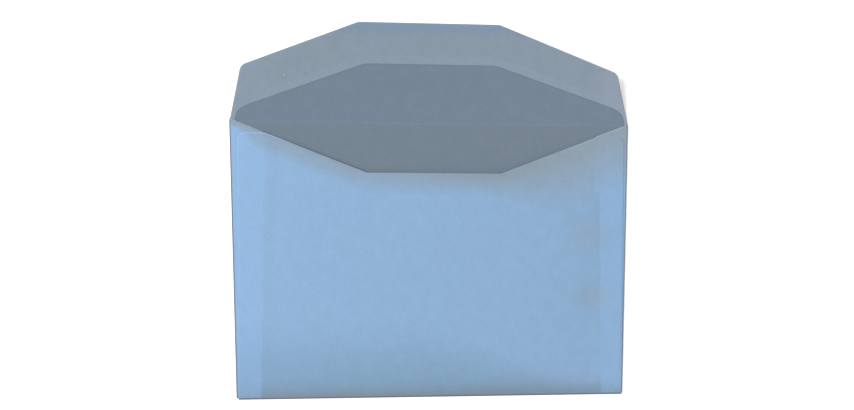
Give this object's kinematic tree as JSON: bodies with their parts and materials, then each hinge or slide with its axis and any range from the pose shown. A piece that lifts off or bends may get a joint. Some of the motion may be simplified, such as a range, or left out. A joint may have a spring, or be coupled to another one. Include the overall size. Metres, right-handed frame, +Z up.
{
  "type": "paper envelope",
  "caption": "Folded paper envelope with an open trapezoid seal flap, glued side seams, a wide throat and a bowed back panel.",
  "frame": {"origin": "middle of the address side's outer face, on the surface that the envelope lies on", "axes": "+X along the bottom fold, to the right as the open flap is seen; +Y towards the seal flap; +Z up, out of the address side and through the pocket"},
  "size_m": [0.162, 0.1521, 0.0099],
  "materials": {
    "envelope_paper": "uncoated matt"
  },
  "bodies": {
    "root": {"envelope": "envelope_paper"}
  },
  "joints": []
}
